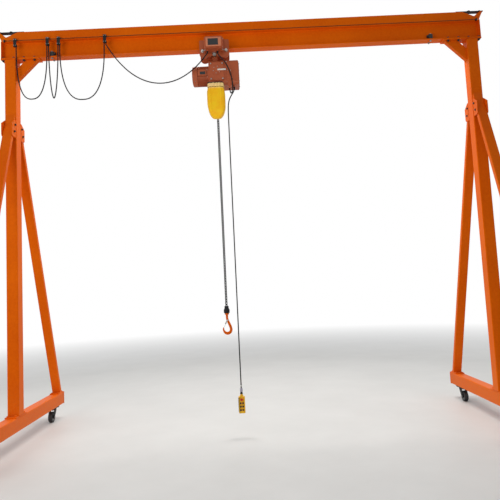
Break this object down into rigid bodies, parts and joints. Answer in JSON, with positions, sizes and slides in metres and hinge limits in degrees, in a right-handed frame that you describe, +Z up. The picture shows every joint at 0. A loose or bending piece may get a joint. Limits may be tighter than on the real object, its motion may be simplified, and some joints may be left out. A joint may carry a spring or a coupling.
{
  "type": "gantry crane",
  "caption": "Orange free-standing gantry crane: I-beam on braced legs with swivel casters, with a motorised trolley, chain hoist, chain bag, hook and pendant.",
  "frame": {"origin": "on the floor under the middle of the beam", "axes": "+X along the beam, +Y across it away from the side with the trolley motor, +Z up"},
  "size_m": [5.34, 2.45, 4.427],
  "materials": {
    "orange_paint": "orange gloss paint on rolled steel",
    "hoist_paint": "brownish orange satin paint",
    "black_steel": "black satin paint",
    "zinc_steel": "zinc-plated steel",
    "cable_sheath": "black rubber sheath",
    "stop_rubber": "black rubber buffer",
    "bag_cloth": "yellow coated cloth",
    "chain_steel": "blackened hardened steel",
    "orange_paint_hook": "orange paint on forged steel",
    "pendant_plastic": "yellow moulded plastic",
    "wheel_tread": "black wheel tread"
  },
  "bodies": {
    "gantry": {"main_beam": "orange_paint", "beam_cap": "orange_paint", "beam_end_left": "orange_paint", "beam_end_right": "orange_paint", "end_strap_left": "black_steel", "end_strap_right": "black_steel", "column_left": "orange_paint", "column_right": "orange_paint", "head_plate_left": "orange_paint", "head_plate_right": "orange_paint", "knee_gusset_left": "orange_paint", "knee_gusset_right": "orange_paint", "base_beam_left": "orange_paint", "base_beam_right": "orange_paint", "base_end_caps": "orange_paint", "brace_left_front": "orange_paint", "brace_left_back": "orange_paint", "brace_right_front": "orange_paint", "brace_right_back": "orange_paint", "brace_bracket_left": "orange_paint", "brace_bracket_right": "orange_paint", "travel_stops": "stop_rubber", "festoon_wire": "black_steel", "festoon_hangers": "black_steel", "festoon_loops": "cable_sheath", "caster_plates": "black_steel"},
    "trolley": {"trolley_plate_front": "hoist_paint", "trolley_plate_back": "hoist_paint", "trolley_wheels": "black_steel", "trolley_bars": "zinc_steel", "trolley_motor": "hoist_paint", "hoist_hanger": "hoist_paint", "hoist_gearcase": "hoist_paint", "hoist_motor": "hoist_paint", "hoist_control_box": "hoist_paint", "hoist_cable": "cable_sheath", "chain_guide": "black_steel", "chain_bag": "bag_cloth", "load_chain": "chain_steel", "festoon_lead": "cable_sheath", "pendant_cable": "cable_sheath", "pendant": "pendant_plastic"},
    "hook_block": {"hook_block": "black_steel"},
    "hook": {"hook": "orange_paint_hook"},
    "caster_left_front": {"fork_left_front": "black_steel"},
    "caster_wheel_left_front": {"wheel_left_front": "wheel_tread"},
    "caster_left_back": {"fork_left_back": "black_steel"},
    "caster_wheel_left_back": {"wheel_left_back": "wheel_tread"},
    "caster_right_front": {"fork_right_front": "black_steel"},
    "caster_wheel_right_front": {"wheel_right_front": "wheel_tread"},
    "caster_right_back": {"fork_right_back": "black_steel"},
    "caster_wheel_right_back": {"wheel_right_back": "wheel_tread"}
  },
  "joints": [
    {"name": "trolley_travel", "type": "slide", "parent": "gantry", "child": "trolley", "axis": [1, 0, 0], "range_m": [-0.65, 2.19], "deforming": ["festoon_lead"]},
    {"name": "hook_lift", "type": "slide", "parent": "trolley", "child": "hook_block", "axis": [0, 0, 1], "range_m": [-0.95, 2.1], "deforming": ["load_chain"]},
    {"name": "hook_swivel", "type": "hinge", "parent": "hook_block", "child": "hook", "pos_m": [-0.295, 0, 1.2], "axis": [0, 0, 1], "continuous": true},
    {"name": "caster_swivel_left_front", "type": "hinge", "parent": "gantry", "child": "caster_left_front", "pos_m": [-2.51, -1, 0.16], "axis": [0, 0, 1], "continuous": true},
    {"name": "wheel_roll_left_front", "type": "hinge", "parent": "caster_left_front", "child": "caster_wheel_left_front", "pos_m": [-2.51, -0.962, 0.0625], "axis": [1, 0, 0], "continuous": true},
    {"name": "caster_swivel_left_back", "type": "hinge", "parent": "gantry", "child": "caster_left_back", "pos_m": [-2.51, 1, 0.16], "axis": [0, 0, 1], "continuous": true},
    {"name": "wheel_roll_left_back", "type": "hinge", "parent": "caster_left_back", "child": "caster_wheel_left_back", "pos_m": [-2.51, 0.962, 0.0625], "axis": [1, 0, 0], "continuous": true},
    {"name": "caster_swivel_right_front", "type": "hinge", "parent": "gantry", "child": "caster_right_front", "pos_m": [2.51, -1, 0.16], "axis": [0, 0, 1], "continuous": true},
    {"name": "wheel_roll_right_front", "type": "hinge", "parent": "caster_right_front", "child": "caster_wheel_right_front", "pos_m": [2.51, -0.962, 0.0625], "axis": [1, 0, 0], "continuous": true},
    {"name": "caster_swivel_right_back", "type": "hinge", "parent": "gantry", "child": "caster_right_back", "pos_m": [2.51, 1, 0.16], "axis": [0, 0, 1], "continuous": true},
    {"name": "wheel_roll_right_back", "type": "hinge", "parent": "caster_right_back", "child": "caster_wheel_right_back", "pos_m": [2.51, 0.962, 0.0625], "axis": [1, 0, 0], "continuous": true}
  ]
}
